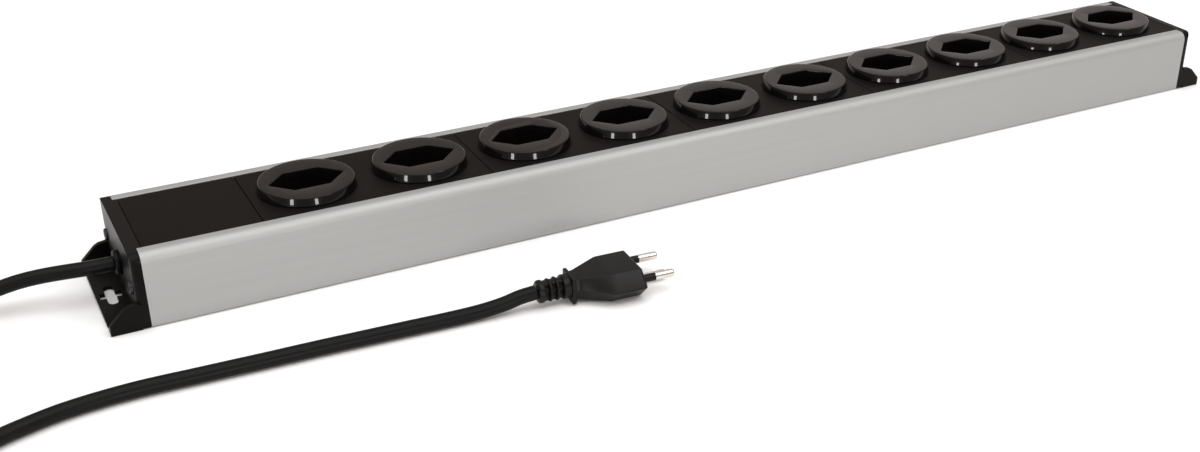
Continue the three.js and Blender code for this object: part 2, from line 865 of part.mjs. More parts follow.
function plugPins() {
  const { radius: r, length, sleeve, coreRadius, earthDrop } = pin;
  const tip = [[r, length - pin.tipLength], [r - pin.tipInset, length], [0, length]];
  const meshes = [];
  for (const [label, s] of [["live", -1], ["neutral", 1]]) {
    const y = (s * pinSpacing) / 2;
    const core = [[0, gap], [coreRadius, gap], [coreRadius, sleeve + gap], [r, sleeve + gap], ...tip];
    const skin = [[coreRadius + gap, gap], [r, gap], [r, sleeve], [coreRadius + gap, sleeve]];
    skin.push(skin[0]);
    meshes.push(mesh(`plug_pin_${label}`, pinX(core, y, plug.axisHeight), nickel()));
    meshes.push(mesh(`pin_sleeve_${label}`, pinX(skin, y, plug.axisHeight), cordBlack()));
  }
  const earth = pinX([[0, gap], [r, gap], ...tip], 0, plug.axisHeight - earthDrop);
  meshes.push(mesh("plug_pin_earth", earth, nickel()));
  return meshes;
}

function plugGroup() {
  const group = new THREE.Group();
  group.add(plugBody(), plugBoot(), ...plugPins());
  group.rotation.z = THREE.MathUtils.degToRad(plug.turn);
  group.position.set(...plug.front, 0);
  return group;
}

// ---- the whole object ----
const strip = new THREE.Group();
strip.add(housingProfile(), endCap(-1), endCap(1), blankCover());
for (let i = 0; i < socketCount / socketsPerModule; i++) {
  strip.add(moduleCover(i), contactCarrier(i));
}
for (let i = 0; i < socketCount; i++) {
  strip.add(socketInsert(i));
}
for (const side of [-1, 1]) {
  strip.add(capScrewMesh(side, -1), capScrewMesh(side, 1));
}
strip.add(
  busBar("live_bar", -bar.offset, bar.height, -pinSpacing / 2, 0),
  busBar("neutral_bar", bar.offset, bar.height, pinSpacing / 2, 0),
  busBar("earth_bar", earthOffset, bar.earthHeight, 0, earthOffset),
  terminalBlock(),
  ...terminalPlaces().map(([label, y]) => terminalScrew(label, y)),
  cableBush(),
  cordTail(),
  ...cordClamp(),
  ...wires(),
  mesh("cord_run_out", tube(leadOut, cord.radius, cordStep, smallSteps), cordBlack()),
  coilSolid(),
  cordTie(),
  mesh("cord_run_back", tube(leadBack, cord.radius, cordStep, smallSteps), cordBlack()),
  plugGroup(),
);

export default strip;
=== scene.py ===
# The looks of the desk power strip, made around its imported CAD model. Metres, in the model's own
# frame: +Z up, X along the strip, the lead leaving at the -X end, and the surface it stands on at z = 0.
import math

import bmesh
import bpy
from mathutils import Matrix, Vector


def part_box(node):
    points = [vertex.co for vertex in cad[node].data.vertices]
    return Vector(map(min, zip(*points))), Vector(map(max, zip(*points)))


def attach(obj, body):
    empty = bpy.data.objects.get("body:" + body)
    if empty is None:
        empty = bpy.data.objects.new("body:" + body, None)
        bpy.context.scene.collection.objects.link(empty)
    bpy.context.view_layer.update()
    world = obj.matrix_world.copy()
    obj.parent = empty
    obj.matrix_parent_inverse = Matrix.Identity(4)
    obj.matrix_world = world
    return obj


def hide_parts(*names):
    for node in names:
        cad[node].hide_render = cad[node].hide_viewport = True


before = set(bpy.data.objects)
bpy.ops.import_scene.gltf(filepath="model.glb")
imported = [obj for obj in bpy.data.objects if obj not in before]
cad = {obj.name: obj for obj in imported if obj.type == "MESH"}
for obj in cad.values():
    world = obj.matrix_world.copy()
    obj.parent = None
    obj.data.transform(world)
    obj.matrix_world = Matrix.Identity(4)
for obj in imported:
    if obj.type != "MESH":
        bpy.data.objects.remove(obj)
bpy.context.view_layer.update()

MM = 0.001


# ---- the camera ----
CAMERA_PLACE = (-0.3904, -0.6527, 0.3453)
CAMERA_AZIMUTH = 28.68  # from +Y towards +X, in degrees
CAMERA_DOWN = 27.72
CAMERA_ROLL = 0.44
CAMERA_LENS = 44.9
CAMERA_SHIFT = (-0.0515, 0.0195)


def make_camera():
    azimuth, down, roll = (math.radians(a) for a in (CAMERA_AZIMUTH, CAMERA_DOWN, CAMERA_ROLL))
    ahead = Vector((
        math.sin(azimuth) * math.cos(down),
        math.cos(azimuth) * math.cos(down),
        -math.sin(down),
    ))
    level = Vector((math.cos(azimuth), -math.sin(azimuth), 0))
    upright = level.cross(ahead)
    across = level * math.cos(roll) + upright * math.sin(roll)
    up = upright * math.cos(roll) - level * math.sin(roll)
    data = bpy.data.cameras.new("camera")
    data.sensor_width = 36
    data.lens = CAMERA_LENS
    data.shift_x, data.shift_y = CAMERA_SHIFT
    data.clip_end = 50
    camera = bpy.data.objects.new("camera", data)
    bpy.context.scene.collection.objects.link(camera)
    turn = Matrix((across, up, -ahead)).transposed().to_4x4()
    camera.matrix_world = Matrix.Translation(CAMERA_PLACE) @ turn
    bpy.context.scene.camera = camera


make_camera()


# ---- materials ----
def noise(tree, place, scale, detail=3.0):
    node = tree.nodes.new("ShaderNodeTexNoise")
    node.inputs["Scale"].default_value = scale
    node.inputs["Detail"].default_value = detail
    tree.links.new(place, node.inputs["Vector"])
    return node.outputs["Fac"]


NOISE_LOW, NOISE_HIGH = 0.3, 0.7  # where most of a noise texture's values lie


def spread(tree, value, low, high):
    """The noise value, brought from the range that it mostly has to low..high."""
    node = tree.nodes.new("ShaderNodeMapRange")
    node.inputs["From Min"].default_value = NOISE_LOW
    node.inputs["From Max"].default_value = NOISE_HIGH
    node.inputs["To Min"].default_value = low
    node.inputs["To Max"].default_value = high
    tree.links.new(value, node.inputs["Value"])
    return node.outputs["Result"]


COAT_ROUGHNESS = 0.03
COAT_IOR = 1.25  # faint where it is seen square on, brighter where it is seen edge on


def surface(name, dark, light, roughness, metallic=0.0, gloss=0.5, coat=0.0, mottle=60, grain=1500,
            relief=0.1, depth=0.02, stretch=(1, 1, 1)):
    """Colour and roughness vary with broad noise, and fine noise gives the relief. depth is in mm."""
    material = bpy.data.materials.new(name)
    material.use_nodes = True
    tree = material.node_tree
    shader = tree.nodes["Principled BSDF"]
    shader.inputs["Metallic"].default_value = metallic
    shader.inputs["Specular IOR Level"].default_value = gloss
    shader.inputs["Coat Weight"].default_value = coat
    shader.inputs["Coat Roughness"].default_value = COAT_ROUGHNESS
    shader.inputs["Coat IOR"].default_value = COAT_IOR
    place = tree.nodes.new("ShaderNodeTexCoord")
    turn = tree.nodes.new("ShaderNodeMapping")
    turn.inputs["Scale"].default_value = stretch
    tree.links.new(place.outputs["Object"], turn.inputs["Vector"])
    broad = noise(tree, turn.outputs["Vector"], mottle)
    fine = noise(tree, turn.outputs["Vector"], grain, detail=2.0)
    mix = tree.nodes.new("ShaderNodeMix")
    mix.data_type = "RGBA"
    mix.inputs["A"].default_value = (*dark, 1)
    mix.inputs["B"].default_value = (*light, 1)
    tree.links.new(spread(tree, broad, 0, 1), mix.inputs["Factor"])
    tree.links.new(mix.outputs["Result"], shader.inputs["Base Color"])
    tree.links.new(spread(tree, broad, *roughness), shader.inputs["Roughness"])
    bump = tree.nodes.new("ShaderNodeBump")
    bump.inputs["Strength"].default_value = relief
    bump.inputs["Distance"].default_value = depth * MM
    tree.links.new(fine, bump.inputs["Height"])
    tree.links.new(bump.outputs["Normal"], shader.inputs["Normal"])
    return material


ALONG = (0.02, 1, 1)  # stretches noise into lines along the strip
anodised = surface("anodised_aluminium", (0.430, 0.432, 0.427), (0.448, 0.451, 0.445), (0.62, 0.70),
                   metallic=1.0, mottle=350, grain=3000, relief=0.15, depth=0.02, stretch=ALONG)
cover_black = surface("cover_black", (0.0052, 0.0042, 0.0037), (0.0070, 0.0058, 0.0052), (0.42, 0.50),
                      gloss=0.05, mottle=40, grain=2600, relief=0.5, depth=0.02)
socket_black = surface("socket_black", (0.0030, 0.0024, 0.0022), (0.0044, 0.0036, 0.0033), (0.22, 0.28),
                       gloss=0.03, coat=1.0, mottle=50, grain=700, relief=0.03, depth=0.02)
cap_black = surface("cap_black", (0.0030, 0.0026, 0.0025), (0.0044, 0.0039, 0.0037), (0.30, 0.38),
                    gloss=0.08, mottle=45, grain=1200, relief=0.15, depth=0.02)
cord_black = surface("cord_black", (0.0030, 0.0029, 0.0028), (0.0048, 0.0046, 0.0044), (0.36, 0.45),
                     gloss=0.11, mottle=120, grain=900, relief=0.25, depth=0.06)
plug_black = surface("plug_black", (0.0044, 0.0039, 0.0037), (0.0062, 0.0056, 0.0053), (0.34, 0.42),
                     gloss=0.16, mottle=90, grain=1800, relief=0.5, depth=0.03)
tie_black = surface("tie_black", (0.010, 0.010, 0.010), (0.020, 0.020, 0.020), (0.6, 0.75),
                    gloss=0.3, mottle=400, grain=1300, relief=0.9, depth=0.12)
screw_black = surface("screw_black", (0.012, 0.012, 0.012), (0.022, 0.022, 0.022), (0.25, 0.38),
                      metallic=0.5, mottle=300, grain=1800, relief=0.3, depth=0.02)
zinc = surface("zinc", (0.45, 0.46, 0.46), (0.60, 0.60, 0.58), (0.25, 0.4),
               metallic=1.0, mottle=260, grain=1500, relief=0.3, depth=0.02)
nickel = surface("nickel", (0.68, 0.64, 0.59), (0.72, 0.68, 0.63), (0.22, 0.27),
                 metallic=1.0, mottle=20, grain=200, relief=0.005, depth=0.005)
brass = surface("brass", (0.55, 0.38, 0.12), (0.72, 0.53, 0.21), (0.25, 0.42),
                metallic=1.0, mottle=90, grain=900, relief=0.2, depth=0.02)
insulator = surface("insulator", (0.62, 0.59, 0.52), (0.70, 0.67, 0.60), (0.45, 0.58),
                    mottle=70, grain=1500, relief=0.4, depth=0.03)
wire_brown = surface("wire_brown", (0.07, 0.025, 0.01), (0.10, 0.04, 0.018), (0.35, 0.45))
wire_blue = surface("wire_blue", (0.015, 0.06, 0.22), (0.02, 0.09, 0.30), (0.35, 0.45))
wire_green_yellow = surface("wire_green_yellow", (0.03, 0.20, 0.03), (0.65, 0.55, 0.03), (0.35, 0.45),
                            mottle=250, stretch=ALONG)


# ---- mesh helpers ----
def arc(centre, radius, start, end, steps):
    """Points on an arc, both ends included. Angles in degrees."""
    angles = [math.radians(start + (end - start) * i / steps) for i in range(steps + 1)]
    return [Vector((centre[0] + radius * math.cos(a), centre[1] + radius * math.sin(a))) for a in angles]


def circle(centre, radius, steps):
    return arc(centre, radius, 0, 360, steps)[:-1]


def rounded(points, radii, steps=6, closed=True):
    """The outline with its corners turned into arcs; a radius of 0 keeps the corner."""
    points = [Vector(p) for p in points]
    if not hasattr(radii, "__len__"):
        radii = [radii] * len(points)
    made = []
    for i, (point, radius) in enumerate(zip(points, radii)):
        at_end = not closed and i in (0, len(points) - 1)
        if radius == 0 or at_end:
            made.append(point)
            continue
        back = (points[i - 1] - point).normalized()
        on = (points[(i + 1) % len(points)] - point).normalized()
        half = back.angle(on) / 2
        centre = point + (back + on).normalized() * (radius / math.sin(half))
        begin = point + back * (radius / math.tan(half)) - centre
        turn = math.pi - 2 * half
        if back.x * on.y - back.y * on.x > 0:
            turn = -turn
        for step in range(steps + 1):
            made.append(centre + Matrix.Rotation(turn * step / steps, 2) @ begin)
    return made


class Skin:
    """A mesh built from rings of points, joined by strips and closed by covers."""

    def __init__(self):
        self.mesh = bmesh.new()

    def ring(self, points):
        return [self.mesh.verts.new(p) for p in points]

    def strip(self, a, b):
        for i in range(len(a)):
            j = (i + 1) % len(a)
            self.mesh.faces.new((a[i], a[j], b[j], b[i]))

    def skin(self, rings):
        for a, b in zip(rings, rings[1:]):
            self.strip(a, b)

    def cover(self, *rings):
        """Fills the flat region inside the first ring and outside the others."""
        edges = []
        for ring in rings:
            for i, vertex in enumerate(ring):
                pair = (vertex, ring[(i + 1) % len(ring)])
                edges.append(self.mesh.edges.get(pair) or self.mesh.edges.new(pair))
        bmesh.ops.triangle_fill(self.mesh, use_beauty=True, use_dissolve=False, edges=edges)

    def finish(self, name, sharp=32):
        bmesh.ops.recalc_face_normals(self.mesh, faces=self.mesh.faces)
        limit = math.radians(sharp)
        for face in self.mesh.faces:
            face.smooth = True
        for edge in self.mesh.edges:
            edge.smooth = edge.calc_face_angle(0) < limit
        made = bpy.data.meshes.new(name)
        self.mesh.to_mesh(made)
        self.mesh.free()
        return made


def place_piece(name, data, material, stands_for=(), matrix=None):
    piece = bpy.data.objects.new(name, data)
    bpy.context.scene.collection.objects.link(piece)
    if not data.materials:
        data.materials.append(material)
    if matrix is not None:
        piece.matrix_world = matrix
    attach(piece, "root")
    if stands_for:
        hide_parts(*stands_for)
    return piece


def turned_rings(skin, profile, steps, around="Z"):
    """One ring for each (radius, height) of the profile, about Z or about X."""
    rings = []
    for radius, height in profile:
        points = circle((0, 0), radius, steps)
        if around == "Z":
            rings.append(skin.ring((p.x, p.y, height) for p in points))
        else:
            rings.append(skin.ring((height, p.x, p.y) for p in points))
    return rings


# ---- the lead: its route is the CAD model's ----
CORD_RADIUS = 0.0035
LEAD_OUT = [
    (-0.3211, 0, 0.0175),
    (-0.330, 0.0001, 0.0175),
    (-0.338, 0.0008, 0.0176),
    (-0.346, 0.0024, 0.0173),
    (-0.354, 0.0046, 0.0164),
    (-0.363, 0.0070, 0.0147),
    (-0.373, 0.0086, 0.0122),
    (-0.384, 0.0096, 0.0093),
    (-0.396, 0.0097, 0.0066),
    (-0.409, 0.0084, 0.0047),
    (-0.424, 0.0052, 0.0040),
    (-0.440, -0.0004, 0.0039),
    (-0.455, -0.0090, 0.0040),
    (-0.468, -0.0205, 0.0042),
    (-0.478, -0.0340, 0.0043),
    (-0.4843, -0.0472, 0.0043),
]
LEAD_BACK = [
    (-0.3942, -0.1043, 0.0040),
    (-0.3865, -0.1009, 0.0036),
    (-0.3783, -0.0980, 0.0036),
    (-0.362, -0.0934, 0.0036),
    (-0.3455, -0.0912, 0.0036),
    (-0.329, -0.0905, 0.0036),
    (-0.304, -0.0916, 0.0036),
    (-0.278, -0.0928, 0.0036),
    (-0.252, -0.0938, 0.0036),
    (-0.234, -0.0948, 0.0036),
    (-0.216, -0.0958, 0.0036),
    (-0.197, -0.0970, 0.0036),
    (-0.180, -0.0979, 0.0040),
    (-0.1685, -0.0985, 0.0053),
    (-0.161, -0.0988, 0.0069),
    (-0.1538, -0.0992, 0.0076),
]
COIL_MIDDLE_RADIUS = 0.0375
COIL_STEP = 0.0071  # from one strand to the next, across and up
COIL_ENTRY = 175  # degrees about +Z
COIL_TURNS = 4 + 120 / 360
COIL_INWARD_TURNS = 2.2
CLIMB_START = 1.95  # the turns at which the lead climbs onto the first layer
CLIMB_TURNS = 0.5
POINTS_PER_TURN = 48


def ease(t):
    t = min(1, max(0, t))
    return t * t * (3 - 2 * t)


def coil_points():
    low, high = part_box("cord_coil")
    centre = (low + high) / 2
    floor = low.z + CORD_RADIUS
    outer = COIL_MIDDLE_RADIUS + COIL_STEP
    inner = outer - COIL_STEP * COIL_INWARD_TURNS
    points = []
    count = round(COIL_TURNS * POINTS_PER_TURN)
    for i in range(count + 1):
        turns = COIL_TURNS * i / count
        if turns < COIL_INWARD_TURNS:
            radius = outer - COIL_STEP * turns
        else:
            radius = inner + COIL_STEP * (turns - COIL_INWARD_TURNS)
        angle = math.radians(COIL_ENTRY + 360 * turns)
        height = floor + COIL_STEP * ease((turns - CLIMB_START) / CLIMB_TURNS)
        x = centre.x + radius * math.cos(angle)
        y = centre.y + radius * math.sin(angle)
        points.append(Vector((x, y, height)))
    return points


def smooth_line(points, spacing=0.002):
    """A centripetal Catmull-Rom curve through the points, as closely spaced points."""
    points = [Vector(p) for p in points]
    points = [2 * points[0] - points[1], *points, 2 * points[-1] - points[-2]]
    line = []
    for a, b, c, d in zip(points, points[1:], points[2:], points[3:]):
        t1 = (b - a).length ** 0.5
        t2 = t1 + (c - b).length ** 0.5
        t3 = t2 + (d - c).length ** 0.5
        count = max(1, round((c - b).length / spacing))
        for i in range(count):
            t = t1 + (t2 - t1) * i / count
            ab = a.lerp(b, t / t1)
            bc = b.lerp(c, (t - t1) / (t2 - t1))
            cd = c.lerp(d, (t - t2) / (t3 - t2))
            line.append(ab.lerp(bc, t / t2).lerp(bc.lerp(cd, (t - t1) / (t3 - t1)), (t - t1) / (t2 - t1)))
    line.append(points[-2])
    return line


def make_cord():
    line = smooth_line([*LEAD_OUT, *coil_points(), *LEAD_BACK])
    data = bpy.data.curves.new("mains_lead", "CURVE")
    data.dimensions = "3D"
    data.bevel_depth = CORD_RADIUS
    data.bevel_resolution = 7
    data.use_fill_caps = True
    spline = data.splines.new("POLY")
    spline.points.add(len(line) - 1)
    for point, place in zip(spline.points, line):
        point.co = (*place, 1)
    spline.use_smooth = True
    return place_piece("mains_lead", data, cord_black,
                       ("cord_run_out", "cord_coil", "cord_run_back"))


lead = make_cord()


# ---- the tie round the coil ----
TIE_ANGLE = 60
TIE_WIDTH = 10 * MM
TIE_THICKNESS = 0.7 * MM
TIE_CLEARANCE = 0.15 * MM
TIE_CORNER = 3.2 * MM
LAP_CORNER = 3 * MM


def band_loop(inner, outer, bottom, top, grow):
    corners = [(inner, bottom), (outer, bottom), (outer, top), (inner, top)]
    spread_out = [(-grow, -grow), (grow, -grow), (grow, grow), (-grow, grow)]
    moved = [(a[0] + b[0], a[1] + b[1]) for a, b in zip(corners, spread_out)]
    return rounded(moved, TIE_CORNER + grow, steps=8)


def make_tie():
    low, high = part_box("cord_coil")
    centre = (low + high) / 2
    outer = COIL_MIDDLE_RADIUS + COIL_STEP + CORD_RADIUS
    inner = outer - COIL_STEP * COIL_INWARD_TURNS - 2 * CORD_RADIUS
    bottom = low.z
    top = low.z + 2 * CORD_RADIUS + COIL_STEP
    skin = Skin()
    rings = []
    half = TIE_WIDTH / 2
    for grow, side in ((0, -1), (TIE_THICKNESS, -1), (TIE_THICKNESS, 1), (0, 1)):
        loop = band_loop(inner, outer, bottom, top, TIE_CLEARANCE + grow)
        rings.append(skin.ring((p.x, side * half, p.y) for p in loop))
    skin.skin([*rings, rings[0]])
    # the free end, lapped over the top of the band
    lap_start = inner + TIE_CORNER
    corners = [(lap_start, -half), (outer, -half), (outer, half), (lap_start, half)]
    lap = rounded(corners, (0, LAP_CORNER, LAP_CORNER, 0))
    lap_bottom = top + TIE_CLEARANCE + TIE_THICKNESS
    lower = skin.ring((p.x, p.y, lap_bottom) for p in lap)
    upper = skin.ring((p.x, p.y, lap_bottom + TIE_THICKNESS) for p in lap)
    skin.cover(lower)
    skin.strip(lower, upper)
    skin.cover(upper)
    matrix = Matrix.Translation((centre.x, centre.y, 0)) @ Matrix.Rotation(math.radians(TIE_ANGLE), 4, "Z")
    return place_piece("lead_tie", skin.finish("lead_tie"), tie_black, ("cord_tie",), matrix)


# ---- the plug, in a frame of its own: x = 0 at its front face, its pins ahead of it ----
PIN_GAP = 0.3 * MM
PIN_LENGTH = 16.5 * MM
PIN_RADIUS = 2 * MM
PIN_SLEEVE = 6.5 * MM
PIN_ROOT = -1 * MM
PIN_DOME = 1.3 * MM  # the rounding of its tip
PIN_TIP = 0.2 * MM  # the radius left flat
SLEEVE_INSET = 0.08 * MM
SLEEVE_MOUTH = 1.2 * MM
SLEEVE_EDGE = 0.3 * MM
SLEEVE_LAP = 0.02 * MM  # past the start of the bare pin
PLUG_AXIS = 8 * MM
EARTH_DROP = 5 * MM
PLUG_MIDDLE = 7.1 * MM
PLUG_LENGTH = 33.5 * MM
BOOT_LENGTH = 15.5 * MM


def plug_frame():
    live, neutral = ((low + high) / 2 for low, high in map(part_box, ("plug_pin_live", "plug_pin_neutral")))
    across = neutral - live
    turn = Matrix.Rotation(math.atan2(-across.x, across.y), 4, "Z")
    middle = (live + neutral) / 2
    front = middle - turn @ Vector(((PIN_GAP + PIN_LENGTH) / 2, 0, 0))
    return Matrix.Translation((front.x, front.y, 0)) @ turn, across.length


# distance behind the front face, half width at the edge and at the flat, height
PLUG_STATIONS = [
    (0.0 * MM, 17.0 * MM, 10.0 * MM, 14.0 * MM),
    (16.0 * MM, 17.0 * MM, 10.0 * MM, 14.0 * MM),
    (29.8 * MM, 6.3 * MM, 4.8 * MM, 11.0 * MM),
    (33.5 * MM, 6.1 * MM, 4.7 * MM, 10.8 * MM),
]
PLUG_SOFTENING = 0.8 * MM  # how far a section is averaged with those before and after it
SOFTENING_STEPS = 4  # each way
PLUG_FRONT_EDGE = 1.3 * MM
PLUG_CORNER = 0.6 * MM
FLAT_SHARE = 0.6  # of an inset, that the flat's half width loses
EDGE_STEPS = 6  # rings round a rounded edge
BODY_RINGS = 32
FLANGE_HALF = 6.5 * MM  # half its width and half its height
FLANGE_CORNER = 0.5 * MM
FLANGE_START = 31.7 * MM
BODY_END = 32.4 * MM  # inside the flange
FLANGE_EDGE = 0.25 * MM


def station_at(back):
    """The plug's section at that distance behind its front face, straight between the stations."""
    back = min(max(back, 0), PLUG_STATIONS[-1][0])
    for a, b in zip(PLUG_STATIONS, PLUG_STATIONS[1:]):
        if back <= b[0]:
            t = (back - a[0]) / (b[0] - a[0])
            return [u + (v - u) * t for u, v in zip(a[1:], b[1:])]


def soft_station(back):
    steps = range(-SOFTENING_STEPS, SOFTENING_STEPS + 1)
    samples = [station_at(back + PLUG_SOFTENING * k / SOFTENING_STEPS) for k in steps]
    return [sum(values) / len(samples) for values in zip(*samples)]


def plug_ring(back, inset=0.0):
    edge, flat, height = soft_station(back)
    edge, flat, half = edge - inset, flat - inset * FLAT_SHARE, height / 2 - inset
    outline = rounded(
        [(edge, 0), (flat, half), (-flat, half), (-edge, 0), (-flat, -half), (flat, -half)],
        PLUG_CORNER,
        steps=5,
    )
    return [(-back, p.x, PLUG_MIDDLE + p.y) for p in outline]


def flange_ring(back, inset):
    half = FLANGE_HALF - inset
    outline = rounded([(half, -half), (half, half), (-half, half), (-half, -half)], FLANGE_CORNER)
    return [(-back, p.x, PLUG_MIDDLE + p.y) for p in outline]


def make_plug_body(matrix):
    skin = Skin()
    rings = []
    for k in range(EDGE_STEPS + 1):
        a = math.radians(90 * k / EDGE_STEPS)
        inset = PLUG_FRONT_EDGE * (1 - math.sin(a))
        rings.append(skin.ring(plug_ring(PLUG_FRONT_EDGE * (1 - math.cos(a)), inset)))
    for k in range(1, BODY_RINGS + 1):
        back = PLUG_FRONT_EDGE + (BODY_END - PLUG_FRONT_EDGE) * k / BODY_RINGS
        rings.append(skin.ring(plug_ring(back)))
    flange = [
        skin.ring(flange_ring(back, inset))
        for back, inset in ((FLANGE_START, FLANGE_EDGE), (FLANGE_START + FLANGE_EDGE, 0),
                            (PLUG_LENGTH - FLANGE_EDGE, 0), (PLUG_LENGTH, FLANGE_EDGE))
    ]
    for shell in (rings, flange):
        skin.skin(shell)
        skin.cover(shell[0])
        skin.cover(shell[-1])
    return place_piece("plug_housing", skin.finish("plug_housing", sharp=40), plug_black,
                       ("plug_body",), matrix)


BOOT_STEPS = 64
BOOT_END = 5.5 * MM
BOOT_SPINE = 4.9 * MM
BOOT_POCKET = 2.6 * MM
BOOT_RIBS = 3  # the last one is the drum next to the plug's body
BOOT_RIB = 1.0 * MM
BOOT_WINDOW = 2.4 * MM
BOOT_BULB = 2.8 * MM
BOOT_WALL = 0.12 * MM  # over which a rib's flank rises
BOOT_DROP = 0.4 * MM  # below the pins' axis
BOOT_GROWTH = 0.15 * MM  # from one rib to the next, towards the plug's body
BOOT_EDGE = 0.25 * MM
BULB_ROUND = 1.6 * MM  # along the boot
BULB_INSET = 1.2 * MM  # at its rear face
BULB_LIP = 0.4 * MM  # along the boot
BULB_LIP_INSET = 0.35 * MM
POCKET_FROM = 0.5  # the cosine, from the middle of a side, where a pocket begins
POCKET_EASE = 0.1


def boot_ring(x, rib):
    """A full ring of radius rib, or, with rib None, the core with a pocket at each side."""
    points = []
    for k in range(BOOT_STEPS):
        angle = 2 * math.pi * k / BOOT_STEPS
        radius = rib
        if rib is None:
            depth = ease((abs(math.cos(angle)) - POCKET_FROM) / POCKET_EASE)
            radius = BOOT_SPINE + (BOOT_POCKET - BOOT_SPINE) * depth
        points.append((x, radius * math.cos(angle), PLUG_AXIS - BOOT_DROP + radius * math.sin(angle)))
    return points


def make_plug_boot(matrix):
    rear = -PLUG_LENGTH - BOOT_LENGTH
    rings = []
    skin = Skin()
    for k in range(EDGE_STEPS + 1):
        a = math.radians(90 * k / EDGE_STEPS)
        x = rear + BULB_ROUND * (1 - math.cos(a))
        rings.append(skin.ring(boot_ring(x, BOOT_END - BULB_INSET * (1 - math.sin(a)))))
    rings.append(skin.ring(boot_ring(rear + BOOT_BULB - BULB_LIP, BOOT_END)))
    rings.append(skin.ring(boot_ring(rear + BOOT_BULB, BOOT_END - BULB_LIP_INSET)))
    for i in range(BOOT_RIBS):
        start = rear + BOOT_BULB + i * (BOOT_WINDOW + BOOT_RIB)
        rib = start + BOOT_WINDOW
        end = rib + BOOT_RIB if i < BOOT_RIBS - 1 else -PLUG_LENGTH
        height = BOOT_END + BOOT_GROWTH * i
        rings.append(skin.ring(boot_ring(start + BOOT_WALL, None)))
        rings.append(skin.ring(boot_ring(rib, None)))
        rings.append(skin.ring(boot_ring(rib + BOOT_WALL, height - BOOT_EDGE)))
        rings.append(skin.ring(boot_ring(rib + 3 * BOOT_WALL, height)))
        rings.append(skin.ring(boot_ring(end - 2 * BOOT_WALL, height)))
        rings.append(skin.ring(boot_ring(end, height - BOOT_EDGE)))
    skin.skin(rings)
    skin.cover(rings[0])
    skin.cover(rings[-1])
    return place_piece("plug_strain_relief", skin.finish("plug_strain_relief"), plug_black,
                       ("plug_boot",), matrix)


def pin_mesh(name, start, sleeve_end=None):
    """A round pin with a domed tip, or, where sleeve_end is given, the sleeve that ends there."""
    skin = Skin()
    if sleeve_end is None:
        corners = [(PIN_RADIUS, start), (PIN_RADIUS, PIN_LENGTH), (PIN_TIP, PIN_LENGTH)]
        profile = rounded(corners, (0, PIN_DOME, 0), steps=8, closed=False)
    else:
        radius = PIN_RADIUS - SLEEVE_INSET
        corners = [(radius, start), (radius, sleeve_end), (SLEEVE_MOUTH, sleeve_end)]
        profile = rounded(corners, (0, SLEEVE_EDGE, 0), closed=False)
    rings = turned_rings(skin, profile, 48, around="X")
    skin.skin(rings)
    skin.cover(rings[0])
    skin.cover(rings[-1])
    return skin.finish(name)


def make_plug_pins(matrix, spacing):
    made = []
    for label, side in (("live", -1), ("neutral", 1)):
        place = matrix @ Matrix.Translation((0, side * spacing / 2, PLUG_AXIS))
        made.append(place_piece(f"{label}_pin", pin_mesh(f"{label}_pin", PIN_SLEEVE), nickel,
                                (f"plug_pin_{label}",), place))
        sleeve = pin_mesh(f"{label}_pin_sleeve", PIN_ROOT, PIN_SLEEVE + SLEEVE_LAP)
        made.append(place_piece(f"{label}_pin_sleeve", sleeve, plug_black,
                                (f"pin_sleeve_{label}",), place))
    place = matrix @ Matrix.Translation((0, 0, PLUG_AXIS - EARTH_DROP))
    made.append(place_piece("earth_pin", pin_mesh("earth_pin", PIN_ROOT), nickel,
                            ("plug_pin_earth",), place))
    return made


tie = make_tie()
plug_place, pin_spacing = plug_frame()
plug_pieces = [
    make_plug_body(plug_place),
    make_plug_boot(plug_place),
    *make_plug_pins(plug_place, pin_spacing),
]


# ---- the aluminium channel ----
CHANNEL_WALL = 2 * MM
CHANNEL_LIP = 8 * MM  # from the outer face to the edge of the covers
LEDGE_REACH = 3 * MM
LEDGE_DEPTH = 3.1 * MM  # below the top
LEDGE_THICKNESS = 1.5 * MM
SCREW_INSET = 6.5 * MM
SCREW_HEIGHT = 18.5 * MM
SCREW_BOSS = 3.2 * MM
SCREW_BORE = 1.6 * MM
CHANNEL_CORNER = 4.5 * MM
CHANNEL_BASE = 0.8 * MM
CHANNEL_EDGE = 0.25 * MM
INSIDE_CORNER = 0.5 * MM


def make_channel():
    low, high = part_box("housing_profile")
    half, height = high.y, high.z
    inner = half - CHANNEL_WALL
    lip = half - CHANNEL_LIP
    ledge = lip - LEDGE_REACH
    seat = height - LEDGE_DEPTH
    under = seat - LEDGE_THICKNESS
    screw = (half - SCREW_INSET, SCREW_HEIGHT)
    edge = CHANNEL_EDGE
    outside = rounded(
        [(0, 0), (half, 0), (half, height), (lip, height), (lip, seat), (ledge, seat), (ledge, under),
         (inner, under), (inner, screw[1] + SCREW_BOSS)],
        (0, CHANNEL_BASE, CHANNEL_CORNER, edge, 0, edge, edge, 0, 0),
        steps=14,
        closed=False,
    )
    inside = rounded(
        [(inner, screw[1] - SCREW_BOSS), (inner, CHANNEL_WALL), (0, CHANNEL_WALL)],
        (0, INSIDE_CORNER, 0),
        closed=False,
    )
    right = [*outside, *arc(screw, SCREW_BOSS, 90, 270, 20), *inside]
    left = [Vector((-p.x, p.y)) for p in reversed(right[1:-1])]
    outlines = [[*right, *left]]
    outlines += [circle((side * screw[0], screw[1]), SCREW_BORE, 24) for side in (-1, 1)]
    skin = Skin()
    ends = [[skin.ring((x, p.x, p.y) for p in outline) for outline in outlines] for x in (low.x, high.x)]
    for a, b in zip(*ends):
        skin.strip(a, b)
    for rings in ends:
        skin.cover(*rings)
    place_piece("channel", skin.finish("channel"), anodised, ("housing_profile",))


make_channel()


